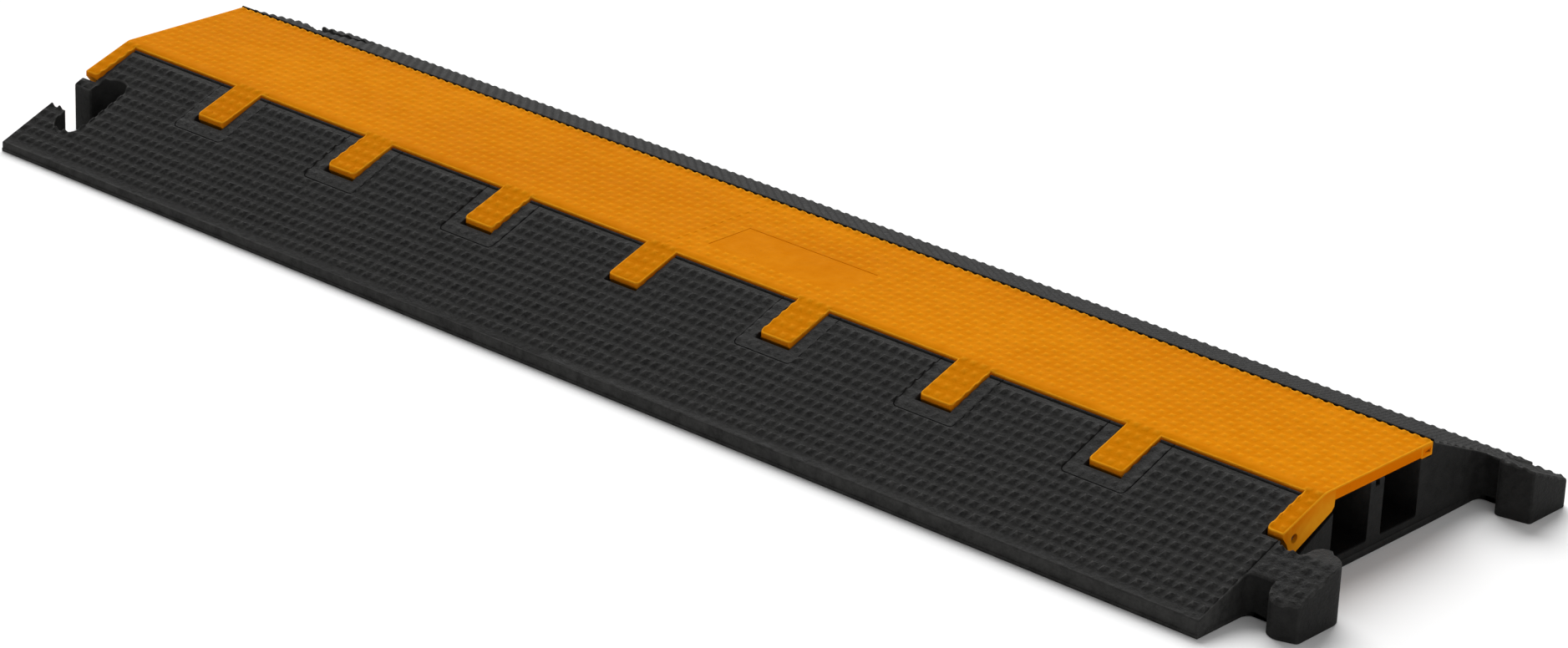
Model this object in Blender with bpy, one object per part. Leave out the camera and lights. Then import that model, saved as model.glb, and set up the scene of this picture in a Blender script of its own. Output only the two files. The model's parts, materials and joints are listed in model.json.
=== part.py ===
"""Two-channel cable protector ramp with a flip lid, at rest with the lid closed.

Metres, +Z up. The origin lies on the underside, midway between the end faces and midway between the
two toes. +X runs along the channels, towards the end with the T lugs. The hinge is on the -Y side.
"""

import math

import bmesh
import bpy
from mathutils import Matrix, Vector

MM = 0.001

# ---- driving dimensions ----

LENGTH = 1000 * MM            # between the two end faces
WIDTH = 322 * MM              # toe to toe
LID_TOP = 52 * MM             # height of the flat panel
PANEL_HALF = 50 * MM          # the panel is flat between -PANEL_HALF and +PANEL_HALF
NEAR_TOE = 8 * MM             # height of the vertical face at the hinge side's toe
FAR_TOE = 5.5 * MM            # and at the other toe
RAMP_CREST = 51.2 * MM        # height that both ramp planes reach at the panel's edges

CHANNEL_WIDTH = 35 * MM
DIVIDER = 13 * MM             # wall between the two channels
FLOOR = 9 * MM                # thickness under the channels
LID_UNDER = 45 * MM           # height of the lid's underside
GAP = 0.3 * MM                # between pieces that touch
GROOVE_WIDTH = 4 * MM         # groove along the top of the divider
GROOVE_DEPTH = 3.5 * MM

LID_LENGTH = 999 * MM
LID_FAR_EDGE = 52 * MM        # y of the lid's free edge
SEAT_WALL = 52.6 * MM         # y of the base's wall behind that edge
RIM_INNER = 42 * MM           # the lid is 1 mm thicker from here to its free edge
RIM_DROP = 1 * MM
TILE_EDGE = -54.5 * MM        # y of the far edge of the ramp between the fingers
WEB_NEAR_TOP = -54 * MM       # y of the lid's near edge between the fingers, at its top
WEB_NEAR_UNDER = -51 * MM     # and at its underside
WEB_RELIEF = 0.3 * MM         # the web is this much thinner over the near wall

HINGE_Y = -77.5 * MM
HINGE_Z = 33 * MM
ROD_RADIUS = 2.5 * MM
ROD_LENGTH = 994 * MM
BORE_RADIUS = 2.8 * MM
EYE_RADIUS = 9 * MM           # of the fingers' rounded underside, about the rod
FINGER_WIDTH = 25 * MM
FINGER_PITCH = 125 * MM
FINGER_COUNT = 7              # whole fingers; there is half a finger at each end
FINGER_TIP = -88 * MM         # y of the finger tips' upper edge
FINGER_TIP_Z = 38.9 * MM
FINGER_HEEL = (-43.5 * MM, 38.5 * MM)
FINGER_BACK = (-41.3 * MM, 41 * MM)
LID_INNER_CORNER = -41 * MM   # y where the fingers' back meets the lid's underside

SLOT_SIDE_GAP = 0.8 * MM
SLOT_RADIUS = 12.9 * MM       # swept by the finger tips
SLOT_HEEL = (-41.2 * MM, 37.3 * MM)

# T lugs and sockets: neck length and half width, head thickness, half width and corner radius
JOINT_CENTRES = (52 * MM, 277 * MM)    # from the near toe
LUG = (18 * MM, 9 * MM, 23.5 * MM, 24.5 * MM, 9 * MM)
SOCKET = (17 * MM, 12 * MM, 25.5 * MM, 26.5 * MM, 11 * MM)
LUG_ROOT = 6 * MM             # how far the necks reach into the body
LUG_FLAT_TOP = 35 * MM        # the lugs' highest level
LUG_LIFT = 0.4 * MM           # the lugs' underside clears the ground
LUG_DROP = 0.2 * MM           # their tops lie this far under the ramp planes

ROUND_STEPS = 8               # segments in a quarter circle
BEYOND = 10 * MM              # how far cutters reach past what they cut

HALF_LENGTH = LENGTH / 2
HALF_WIDTH = WIDTH / 2
CHANNEL_NEAR = DIVIDER / 2
CHANNEL_FAR = CHANNEL_NEAR + CHANNEL_WIDTH
SEAT = LID_UNDER - GAP
NEAR_SLOPE = (RAMP_CREST - NEAR_TOE) / (HALF_WIDTH - PANEL_HALF)
FAR_SLOPE = (RAMP_CREST - FAR_TOE) / (HALF_WIDTH - PANEL_HALF)


def near_ramp(y):
    """Height of the hinge side's ramp plane."""
    return NEAR_TOE + (y + HALF_WIDTH) * NEAR_SLOPE


def far_ramp(y):
    """Height of the other side's ramp plane."""
    return FAR_TOE + (HALF_WIDTH - y) * FAR_SLOPE


# ---- helpers ----


def clear_scene():
    for old in list(bpy.data.objects):
        bpy.data.objects.remove(old, do_unlink=True)


def new_collection(name):
    made = bpy.data.collections.new(name)
    bpy.context.scene.collection.children.link(made)
    return made


def material(name, colour, roughness, metallic=0.0):
    made = bpy.data.materials.new(name)
    made.use_nodes = True
    shader = made.node_tree.nodes["Principled BSDF"]
    shader.inputs["Base Color"].default_value = (*colour, 1.0)
    shader.inputs["Roughness"].default_value = roughness
    shader.inputs["Metallic"].default_value = metallic
    made.diffuse_color = (*colour, 1.0)
    return made


def add_object(name, mesh, collection, finish=None):
    made = bpy.data.objects.new(name, mesh)
    collection.objects.link(made)
    if finish is not None:
        mesh.materials.append(finish)
    return made


def arc(centre, radius, start, end, steps):
    """Points from angle start to angle end, in degrees, both included."""
    return [
        (
            centre[0] + radius * math.cos(math.radians(start + (end - start) * k / steps)),
            centre[1] + radius * math.sin(math.radians(start + (end - start) * k / steps)),
        )
        for k in range(steps + 1)
    ]


def tangent_angle(centre, radius, point):
    """Angle in degrees on the circle's underside where a straight line to the point leaves it."""
    dy = point[0] - centre[0]
    dz = point[1] - centre[1]
    return math.degrees(math.atan2(dz, dy) - math.acos(radius / math.hypot(dy, dz)))


def add_prism(bm, outline, place, low, high):
    """Extrudes an outline between two levels; place(a, b, level) gives a point in space."""
    bottom = [bm.verts.new(place(a, b, low)) for a, b in outline]
    top = [bm.verts.new(place(a, b, high)) for a, b in outline]
    count = len(outline)
    bm.faces.new(bottom[::-1])
    bm.faces.new(top)
    for k in range(count):
        after = (k + 1) % count
        bm.faces.new((bottom[k], bottom[after], top[after], top[k]))


def along_x(y, z, x):
    return Vector((x, y, z))


def upright(x, y, z):
    return Vector((x, y, z))


def prisms_mesh(name, outline, place, spans):
    """One mesh that holds the outline extruded over each of the spans."""
    bm = bmesh.new()
    for low, high in spans:
        add_prism(bm, outline, place, low, high)
    bmesh.ops.recalc_face_normals(bm, faces=bm.faces)
    mesh = bpy.data.meshes.new(name)
    bm.to_mesh(mesh)
    bm.free()
    return mesh


def combine(target, other, operation):
    """Adds an exact Boolean, with the other object kept as a hidden helper."""
    modifier = target.modifiers.new(f"{operation.lower()}_{other.name}", "BOOLEAN")
    modifier.operation = operation
    modifier.object = other
    modifier.solver = "EXACT"


def helper(name, mesh, collection):
    made = add_object(name, mesh, collection)
    made.hide_render = True
    made.display_type = "WIRE"
    return made


# ---- outlines ----


def base_outline():
    """Section across the base, from the near toe round by the underside and the far ramp."""
    groove = GROOVE_WIDTH / 2
    return [
        (-HALF_WIDTH, 0),
        (HALF_WIDTH, 0),
        (HALF_WIDTH, FAR_TOE),
        (SEAT_WALL, far_ramp(SEAT_WALL)),
        (SEAT_WALL, SEAT - RIM_DROP),
        (CHANNEL_FAR, SEAT - RIM_DROP),
        (CHANNEL_FAR, FLOOR),
        (CHANNEL_NEAR, FLOOR),
        (CHANNEL_NEAR, SEAT),
        (groove, SEAT),
        (groove, SEAT - GROOVE_DEPTH),
        (-groove, SEAT - GROOVE_DEPTH),
        (-groove, SEAT),
        (-CHANNEL_NEAR, SEAT),
        (-CHANNEL_NEAR, FLOOR),
        (-CHANNEL_FAR, FLOOR),
        (-CHANNEL_FAR, SEAT),
        (TILE_EDGE, SEAT),
        (TILE_EDGE, near_ramp(TILE_EDGE)),
        (-HALF_WIDTH, NEAR_TOE),
    ]


def lid_outline():
    """Section across the lid through a finger, from the free edge round by the top and the eye."""
    hinge = (HINGE_Y, HINGE_Z)
    heel_angle = tangent_angle(hinge, EYE_RADIUS, FINGER_HEEL)
    return [
        (LID_FAR_EDGE, LID_UNDER - RIM_DROP),
        (LID_FAR_EDGE, LID_TOP),
        (-PANEL_HALF, LID_TOP),
        (FINGER_TIP, FINGER_TIP_Z),
        *arc(hinge, EYE_RADIUS, -180, heel_angle, 2 * ROUND_STEPS),
        FINGER_HEEL,
        FINGER_BACK,
        (LID_INNER_CORNER, LID_UNDER),
        (RIM_INNER - RIM_DROP, LID_UNDER),
        (RIM_INNER, LID_UNDER - RIM_DROP),
    ]


def between_fingers_outline():
    """What is taken from the lid's section where there is no finger."""
    lean = (WEB_NEAR_TOP - WEB_NEAR_UNDER) / (near_ramp(WEB_NEAR_TOP) - LID_UNDER)
    under = LID_UNDER + WEB_RELIEF
    above = LID_TOP + BEYOND
    return [
        (WEB_NEAR_UNDER, under),
        (WEB_NEAR_UNDER + lean * (above - under), above),
        (FINGER_TIP - BEYOND, above),
        (FINGER_TIP - BEYOND, HINGE_Z - EYE_RADIUS - BEYOND),
        (LID_INNER_CORNER + WEB_RELIEF, HINGE_Z - EYE_RADIUS - BEYOND),
        (LID_INNER_CORNER + WEB_RELIEF, under),
    ]


def slot_outline():
    """Section of the slots that the fingers lie and turn in."""
    hinge = (HINGE_Y, HINGE_Z)
    heel_angle = tangent_angle(hinge, SLOT_RADIUS, SLOT_HEEL)
    slope = math.tan(math.radians(90 + heel_angle))
    reach = 3 * MM
    above = LID_TOP + BEYOND
    return [
        *arc(hinge, SLOT_RADIUS, -180, heel_angle, 2 * ROUND_STEPS),
        (SLOT_HEEL[0] + reach, SLOT_HEEL[1] + reach * slope),
        (SLOT_HEEL[0] + reach, above),
        (HINGE_Y - SLOT_RADIUS, above),
    ]


def tee_outline(face, start, centre, neck_length, neck_half, head_thick, head_half, corner):
    """Plan of a T that points to +X from an end face: a neck, then a head with round corners.

    start is how far before the face the neck begins, and centre is measured from the near toe.
    """
    neck_to = face + neck_length
    head_to = neck_to + head_thick
    y = centre - HALF_WIDTH
    near = y - head_half
    far = y + head_half
    return [
        (face - start, y - neck_half),
        (neck_to, y - neck_half),
        *arc((neck_to + corner, near + corner), corner, 180, 270, ROUND_STEPS),
        *arc((head_to - corner, near + corner), corner, 270, 360, ROUND_STEPS),
        *arc((head_to - corner, far - corner), corner, 0, 90, ROUND_STEPS),
        *arc((neck_to + corner, far - corner), corner, 90, 180, ROUND_STEPS),
        (neck_to, y + neck_half),
        (face - start, y + neck_half),
    ]


def lug_section():
    """Section that the lugs are trimmed to: under both ramps, and cut off flat at their own height."""
    top = LUG_FLAT_TOP
    near_y = (top + LUG_DROP - NEAR_TOE) / NEAR_SLOPE - HALF_WIDTH
    far_y = HALF_WIDTH - (top + LUG_DROP - FAR_TOE) / FAR_SLOPE
    return [
        (-HALF_WIDTH, LUG_LIFT),
        (HALF_WIDTH, LUG_LIFT),
        (HALF_WIDTH, FAR_TOE - LUG_DROP),
        (far_y, top),
        (near_y, top),
        (-HALF_WIDTH, NEAR_TOE - LUG_DROP),
    ]


# ---- pieces ----


def finger_spans(extra):
    """The x ranges of all the fingers, each made wider by extra on both sides."""
    half = FINGER_WIDTH / 2
    spans = []
    for k in range(FINGER_COUNT + 2):
        centre = (k - (FINGER_COUNT + 1) / 2) * FINGER_PITCH
        spans.append((centre - half - extra, centre + half + extra))
    return spans


def make_base(parts, cutters, finish):
    body = prisms_mesh("base", base_outline(), along_x, [(-HALF_LENGTH, HALF_LENGTH)])
    base = add_object("base", body, parts, finish)

    trim_to = HALF_LENGTH + LUG[0] + LUG[2] + BEYOND
    trim_mesh = prisms_mesh("lug_trim", lug_section(), along_x, [(HALF_LENGTH - BEYOND, trim_to)])
    trim = helper("lug_trim", trim_mesh, cutters)
    tall = [(-BEYOND, LID_TOP + BEYOND)]
    for number, centre in enumerate(JOINT_CENTRES, 1):
        plan = tee_outline(HALF_LENGTH, LUG_ROOT, centre, *LUG)
        lug = helper(f"lug_{number}", prisms_mesh(f"lug_{number}", plan, upright, tall), cutters)
        combine(lug, trim, "INTERSECT")
        combine(base, lug, "UNION")

        plan = tee_outline(-HALF_LENGTH, BEYOND, centre, *SOCKET)
        socket_mesh = prisms_mesh(f"socket_{number}", plan, upright, tall)
        combine(base, helper(f"socket_{number}", socket_mesh, cutters), "DIFFERENCE")

    slots = helper(
        "finger_slots",
        prisms_mesh("finger_slots", slot_outline(), along_x, finger_spans(SLOT_SIDE_GAP)),
        cutters,
    )
    combine(base, slots, "DIFFERENCE")
    return base


def make_lid(parts, cutters, finish):
    half = LID_LENGTH / 2
    lid = add_object("lid", prisms_mesh("lid", lid_outline(), along_x, [(-half, half)]), parts, finish)
    fingers = finger_spans(0)
    gaps = [(fingers[k][1], fingers[k + 1][0]) for k in range(len(fingers) - 1)]
    between = helper(
        "between_fingers", prisms_mesh("between_fingers", between_fingers_outline(), along_x, gaps), cutters
    )
    combine(lid, between, "DIFFERENCE")
    return lid


def cylinder_along_x(name, radius, length, segments):
    turned = Matrix.Rotation(math.radians(90), 3, "Y")
    bm = bmesh.new()
    bmesh.ops.create_cone(
        bm, cap_ends=True, segments=segments, radius1=radius, radius2=radius, depth=length
    )
    bmesh.ops.rotate(bm, verts=bm.verts, cent=(0, 0, 0), matrix=turned)
    mesh = bpy.data.meshes.new(name)
    bm.to_mesh(mesh)
    bm.free()
    return mesh


def main():
    clear_scene()
    parts = new_collection("cable_protector_ramp")
    cutters = new_collection("cutters")
    black = material("black_rubber", (0.028, 0.028, 0.030), 0.75)
    orange = material("orange_plastic", (0.72, 0.235, 0.004), 0.45)
    steel = material("rod_steel", (0.42, 0.42, 0.43), 0.4, 1.0)

    base = make_base(parts, cutters, black)
    lid = make_lid(parts, cutters, orange)

    bore_mesh = cylinder_along_x("hinge_bore", BORE_RADIUS, LENGTH + 2 * BEYOND, 4 * ROUND_STEPS)
    bore = helper("hinge_bore", bore_mesh, cutters)
    bore.location = (0, HINGE_Y, HINGE_Z)
    combine(base, bore, "DIFFERENCE")
    combine(lid, bore, "DIFFERENCE")

    rod_mesh = cylinder_along_x("hinge_rod", ROD_RADIUS, ROD_LENGTH, 4 * ROUND_STEPS)
    rod = add_object("hinge_rod", rod_mesh, parts, steel)
    rod.location = (0, HINGE_Y, HINGE_Z)


main()
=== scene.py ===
"""Looks of the two-channel cable protector ramp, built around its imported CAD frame.

The base and the lid are sheets triangulated in plan, in millimetres, with a height for every point, closed by
walls and an underside. So studs, slots, witness lines and rounded edges are one mesh with the body.
"""

import json
import math

import bmesh
import bpy
import numpy as np
from mathutils import Matrix, Quaternion, Vector
from mathutils.geometry import delaunay_2d_cdt


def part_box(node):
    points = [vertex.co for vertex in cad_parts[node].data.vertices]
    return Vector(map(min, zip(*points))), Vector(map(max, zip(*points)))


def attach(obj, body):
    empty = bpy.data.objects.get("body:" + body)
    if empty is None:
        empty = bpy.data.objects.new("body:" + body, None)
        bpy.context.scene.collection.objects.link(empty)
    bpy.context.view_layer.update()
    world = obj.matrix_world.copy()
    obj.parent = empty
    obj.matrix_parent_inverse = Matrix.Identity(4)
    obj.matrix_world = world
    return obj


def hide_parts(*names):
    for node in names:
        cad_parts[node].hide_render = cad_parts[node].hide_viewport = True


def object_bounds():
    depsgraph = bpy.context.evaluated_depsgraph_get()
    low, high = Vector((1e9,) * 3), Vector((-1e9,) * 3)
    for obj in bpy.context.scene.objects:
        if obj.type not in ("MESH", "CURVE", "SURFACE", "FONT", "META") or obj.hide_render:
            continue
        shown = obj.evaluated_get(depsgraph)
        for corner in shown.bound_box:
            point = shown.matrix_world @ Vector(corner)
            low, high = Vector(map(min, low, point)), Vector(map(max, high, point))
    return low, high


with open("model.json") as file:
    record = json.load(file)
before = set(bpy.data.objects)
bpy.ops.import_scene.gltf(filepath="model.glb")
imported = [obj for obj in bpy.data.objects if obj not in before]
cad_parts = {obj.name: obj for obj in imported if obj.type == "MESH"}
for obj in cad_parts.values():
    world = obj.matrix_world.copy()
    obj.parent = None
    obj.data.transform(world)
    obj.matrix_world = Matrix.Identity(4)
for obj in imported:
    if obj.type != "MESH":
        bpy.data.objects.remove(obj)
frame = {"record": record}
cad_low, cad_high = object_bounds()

# ---- sizes, in millimetres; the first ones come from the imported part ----

MM = 0.001
base_low, base_high = (np.array(corner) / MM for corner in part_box("base"))
lid_low, lid_high = (np.array(corner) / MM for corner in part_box("lid"))
rod_low, rod_high = (np.array(corner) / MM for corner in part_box("hinge_rod"))
HINGE_Y, HINGE_Z = (v / MM for v in frame["record"]["behaviour"]["joints"][0]["pos_m"][1:])

HALF_WIDTH = base_high[1]
END = -base_low[0]                 # x of the end faces
LID_TOP = lid_high[2]
LID_HALF = lid_high[0]
LID_FAR_EDGE = lid_high[1]
FINGER_TIP = lid_low[1]

LIP = 0.6                          # the moulded lip along the bottom edges stands this far out
FACE = END - LIP                   # x of the end faces above the lip
TOE_FACE = HALF_WIDTH - LIP
TOE_LIP_TOP = 1.9
END_LIP_TOP = 4.2
END_LIP = (-45.0, 92.0)            # y range of the lip on the end faces
NEAR_TOE = (6.2, 10.4)             # toe height at the socket end and at the lug end
FAR_TOE = 5.5
CREST = 51.2
FAR_CREST = 52.6
PANEL_HALF = 50.0
TILE_EDGE = -54.5
SEAT = 44.7
RIM_SEAT = 43.7
SEAT_WALL = 52.6
SEAT_RIM = (1.9, 1.3)              # the raised rim along its top edge: height and width
CHANNEL_NEAR = 6.5
CHANNEL_FAR = 41.5
FLOOR = 9.0
GROOVE_HALF = 2.0
GROOVE_FLOOR = 41.2
SHEER = 0.05                       # plan width of a wall that is upright to the eye

FINGER_PITCH = 125.0
FINGER_HALF = 12.5
SLOT_HALF = 13.3
SLOT_RADIUS = 12.9
SLOT_HEEL = (-41.2, 37.3)
FINGER_CENTRES = [FINGER_PITCH * k for k in range(-4, 5)]
INSERTS = [c for c in FINGER_CENTRES[1:-1] if c != 0]      # the fingers with a witness line about them

LUGS = [                           # y from the near toe, and the head's corner radii, near and far
    dict(neck=(44.3, 67.0), head=(30.6, 83.5), inner=(11.5, 8.0), outer=(2.5, 14.0)),
    dict(neck=(266.3, 287.5), head=(254.0, 300.0), inner=(5.0, 5.0), outer=(2.0, 6.0)),
]
LUG_NECK = 17.5                    # x of the head's inner and outer faces from the end face
LUG_HEAD = 41.6
LUG_TAPER = 3.2                    # the head's sides close in by this towards its outer face
LUG_ROOT = (5.0, 1.5)              # radii where the neck leaves the end face and where it meets the head
SOCKETS = [(41.3, 62.3), (266.0, 287.5)]      # their necks in y from the near toe
SOCKET_NECK = 17.0
SOCKET_HEAD = 42.5
SOCKET_MARGIN = 16.2               # the head's reach past the neck
SOCKET_CORNER = 11.0
SOCKET_ROOT = (2.5, 1.5)
LUG_TOP = 35.0
LUG_ROUND = 1.6                    # rounding of the lugs' top edges
EDGE_ROUND = 0.6                   # and of the body's
NECK_LIFT = 3.2                    # the lugs' necks clear the ground by this
POCKET_DEPTH = 2.5                 # shallow recesses in the underside
POCKET_MARGIN = 9.0
POCKET_ROWS = ((-138.0, -64.0), (-46.0, 46.0), (64.0, 142.0))   # y from and to

STUD_COLUMNS = 130                 # along the base
STUD_ROWS = 12
STUD_ROW_1 = 9.0                   # from the toe
STUD_ROW_PITCH = 8.08
STUD_HEIGHT = 2.0
STUD_STEPS = ((0.5, 1.0), (1.65, 0.45), (2.8, 0.0))     # half width and share of the height
LUG_COLUMNS = 6                    # columns of studs past the end face, on the lugs
LUG_STUDS = (0.55, 0.45)           # their least share of the height, and the most that is added to it
SCATTER = (12.9898, 78.233, 43758.5453)       # uneven factors that spread that share over the studs

INSERT_HALF = 23.0                 # the U-shaped witness line about each finger
INSERT_NEAR = 61.0 - HALF_WIDTH
INSERT_CORNER = 3.5
INSERT_STUDS = 0.45                # studs inside it have this share of the height
FAR_STUDS = 0.7                    # and the far ramp's this one
EDGE_LINE = (1.9, 0.9, 1.1)        # a groove along the tread's top edge: distance, half width and depth
LINE_HALF = 0.36                   # the witness lines
LINE_DEPTH = 0.8
MIDDLE_DEPTH = 0.18                # the one across the middle of the near ramp
SCORE = (0.9, -24, 6)              # a line at the lug end: in from the face, and from and to about the crease

LID_COLUMNS = 133
LID_ROWS = 18
LID_ROW_LAST = 50.2
LID_EDGE_STUDS = 1.7               # the studs at its far edge stand this much higher
LID_ROW_PITCH = 7.89
LID_STUD_HEIGHT = 0.8
LID_STUD_STEPS = ((0.5, 1.0), (1.6, 0.5), (2.6, 0.1), (3.3, 0.0))
FINGER_STUDS = 0.9                 # studs on the fingers have this share of the height
LAST_ROW_REACH = 3.5               # from the last row's middle to where its studs start
LID_ROUND = 0.55
WEB_EDGE = -54.0                   # the lid's near edge between the fingers
TIP_CORNER = 3.0
TIP_TOP = FINGER_TIP + TIP_CORNER + 0.5       # y of a point on the fingers' sides, just past the corner
TIP_HEIGHT = 38.9                  # z of a finger's top at its tip
BEND = (1.6, 0.16)                 # between the fingers' slope and the panel: half width and drop
LID_SEAM = (0.2, 0.08)             # the mould seam across the middle: half width and depth
LID_WEB = ((-41.3, 45.3), (-41.0, 45.0))      # its underside from the near edge: y and z
LID_RIM = ((41.0, 45.0), (42.0, 44.0))        # and at the far edge
FINGER_TOE = (-1.7, -7.9, 2.2)     # the arc under a finger: y and z from the hinge, and radius
BORE_GAP = 0.35                    # round the rod
LABEL = (18.0, -31.0, 123.0, 7.0)  # smooth recess: x, y from and to
LABEL_DEPTH = 0.25
LABEL_WALL = 0.18
LABEL_MARGIN = 2
HOLLOW = ((44.6, 47.3), (50.2, 46.2), (50.2, 48.7))     # a sink hole in the lid's end, in y and z
HOLLOW_DEPTH = 2.5
LID_POCKET_SIZE = (105.0, 27.0)
LID_POCKET_DEPTH = 2.0
LID_POCKET_WALL = 0.6
LID_POCKETS = [                    # shallow recesses under the lid, two to each bay: x, y from and to
    (x, y, x + LID_POCKET_SIZE[0], y + LID_POCKET_SIZE[1])
    for x in [-LID_HALF + 10 + FINGER_PITCH * k for k in range(8)]
    for y in (-38.0, 9.5)
]
RUB_AND_HIGHLIGHT_BAND = 1.3                    # the band along an edge that is painted lighter, partly as rubbed wear and partly as painted highlight
UNDER_EDGE = 0.4                   # the walls' first ring lies this far under the top sheet's edge
DARK_RELIEF = -0.7                 # the relief value of channels and slots, which the rubber paints nearly black as painted shade
SHARP_ANGLE = 42                   # degrees; flatter edges are shaded smooth
LUG_GRAIN = (0.500, 0.506)         # metres along x where the rubber's grain turns coarser, on to the lugs
FLOOR_REACH = 30                   # metres
FLOOR_GAP = 0.0002


def near_ramp(x, y):
    """The hinge side's ramp: its toe is a little thicker at the lug end, and the two meet at the slots."""
    toe = NEAR_TOE[0] + (NEAR_TOE[1] - NEAR_TOE[0]) * np.clip((x + END) / (2 * END), 0, 1)
    mean = sum(NEAR_TOE) / 2
    run = HALF_WIDTH - PANEL_HALF
    fade = np.clip(1 - (y + HALF_WIDTH) / 100.0, 0, 1)
    return mean + (y + HALF_WIDTH) * (CREST - mean) / run + (toe - mean) * fade


def far_ramp(y):
    """The other side's ramp, with an even toe."""
    return FAR_TOE + (HALF_WIDTH - y) * (FAR_CREST - FAR_TOE) / (HALF_WIDTH - PANEL_HALF)


# ---- plan sheets ----


class Plan:
    """Points and lines in plan, which become a triangulated sheet."""

    def __init__(self):
        self.points = []
        self.lines = []

    def path(self, points, closed=False):
        first = len(self.points)
        self.points.extend((float(x), float(y)) for x, y in points)
        count = len(points)
        for k in range(count if closed else count - 1):
            self.lines.append((first + k, first + (k + 1) % count))

    def rectangle(self, x0, y0, x1, y1):
        self.path([(x0, y0), (x1, y0), (x1, y1), (x0, y1)], closed=True)

    def triangles(self, outline):
        """(points, triangles) inside the outline."""
        made = delaunay_2d_cdt([Vector(p) for p in self.points], self.lines, [], 1, 1e-5, False)
        points = np.array([tuple(p) for p in made[0]])
        faces = np.array(made[2])
        corners = points[faces]
        first, second = corners[:, 1] - corners[:, 0], corners[:, 2] - corners[:, 0]
        area = first[:, 0] * second[:, 1] - first[:, 1] * second[:, 0]
        keep = inside(corners.mean(1), outline) & (np.abs(area) > 1e-9)
        faces = np.where((area < 0)[:, None], faces[:, ::-1], faces)[keep]
        used, faces = np.unique(faces, return_inverse=True)
        return points[used], faces.reshape(-1, 3)


def inside(points, outline):
    """True for each of the points that lies inside the closed outline."""
    x, y = points[:, 0], points[:, 1]
    found = np.zeros(len(points), bool)
    ends = np.roll(outline, -1, axis=0)
    for (ax, ay), (bx, by) in zip(outline, ends):
        if ay == by:
            continue
        crosses = (ay > y) != (by > y)
        found ^= crosses & (x < (bx - ax) * (y - ay) / (by - ay) + ax)
    return found


def distance_to(points, path, closed=True):
    """Distance in plan from each point to the path."""
    path = np.asarray(path, float)
    ends = np.roll(path, -1, axis=0) if closed else path[1:]
    starts = path if closed else path[:-1]
    best = np.full(len(points), 1e9)
    for a, b in zip(starts, ends):
        along = b - a
        length = along @ along
        if length < 1e-12:
            continue
        t = np.clip(((points - a) @ along) / length, 0, 1)
        best = np.minimum(best, np.linalg.norm(points - (a + t[:, None] * along), axis=1))
    return best


def inset(outline, by):
    """The outline moved inwards; it runs anticlockwise."""
    outline = np.asarray(outline, float)
    before = outline - np.roll(outline, 1, axis=0)
    after = np.roll(outline, -1, axis=0) - outline
    before /= np.linalg.norm(before, axis=1)[:, None]
    after /= np.linalg.norm(after, axis=1)[:, None]
    normal = np.stack([-before[:, 1] - after[:, 1], before[:, 0] + after[:, 0]], 1)
    normal /= np.linalg.norm(normal, axis=1)[:, None]
    lean = normal[:, 0] * -before[:, 1] + normal[:, 1] * before[:, 0]
    return outline + normal * (by / np.maximum(lean, 0.3))[:, None]


def arc(cx, cy, radius, start, end, steps):
    """Points round a circle, from the start angle to the end one, in degrees."""
    return [
        (
            cx + radius * math.cos(math.radians(start + (end - start) * k / steps)),
            cy + radius * math.sin(math.radians(start + (end - start) * k / steps)),
        )
        for k in range(steps + 1)
    ]


def loop_of(faces):
    """The sheet's boundary as point numbers in order, anticlockwise."""
    edges = np.concatenate([faces[:, [0, 1]], faces[:, [1, 2]], faces[:, [2, 0]]])
    inner = {(b, a) for a, b in edges.tolist()}
    after = {a: b for a, b in edges.tolist() if (a, b) not in inner}
    start = min(after)
    loop = [start]
    while after[loop[-1]] != start:
        loop.append(after[loop[-1]])
    if len(loop) != len(after):
        raise ValueError("the sheet has more than one boundary")
    return loop


def drop(distance, radius):
    """How far a rounded edge lies under its face, at this distance from the edge."""
    reach = np.clip(radius - distance, 0, radius)
    return radius - np.sqrt(np.maximum(radius**2 - reach**2, 0))


def stud_grid(plan, columns, rows, steps, skip=None):
    """Adds the squares of each stud to the plan."""
    for x in columns:
        for y in rows:
            if skip is not None and skip(x, y):
                continue
            for half, _ in steps:
                plan.rectangle(x - half, y - half, x + half, y + half)


def stud_share(x, y, columns, rows, steps):
    """From 0 to 1, the height of the pyramid studs at each point."""
    halves = [s[0] for s in steps]
    shares = [s[1] for s in steps]
    near_x = np.min(np.abs(x[:, None] - np.asarray(columns)[None, :]), axis=1)
    near_y = np.min(np.abs(y[:, None] - np.asarray(rows)[None, :]), axis=1)
    return np.interp(np.maximum(near_x, near_y), halves, shares)


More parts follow.
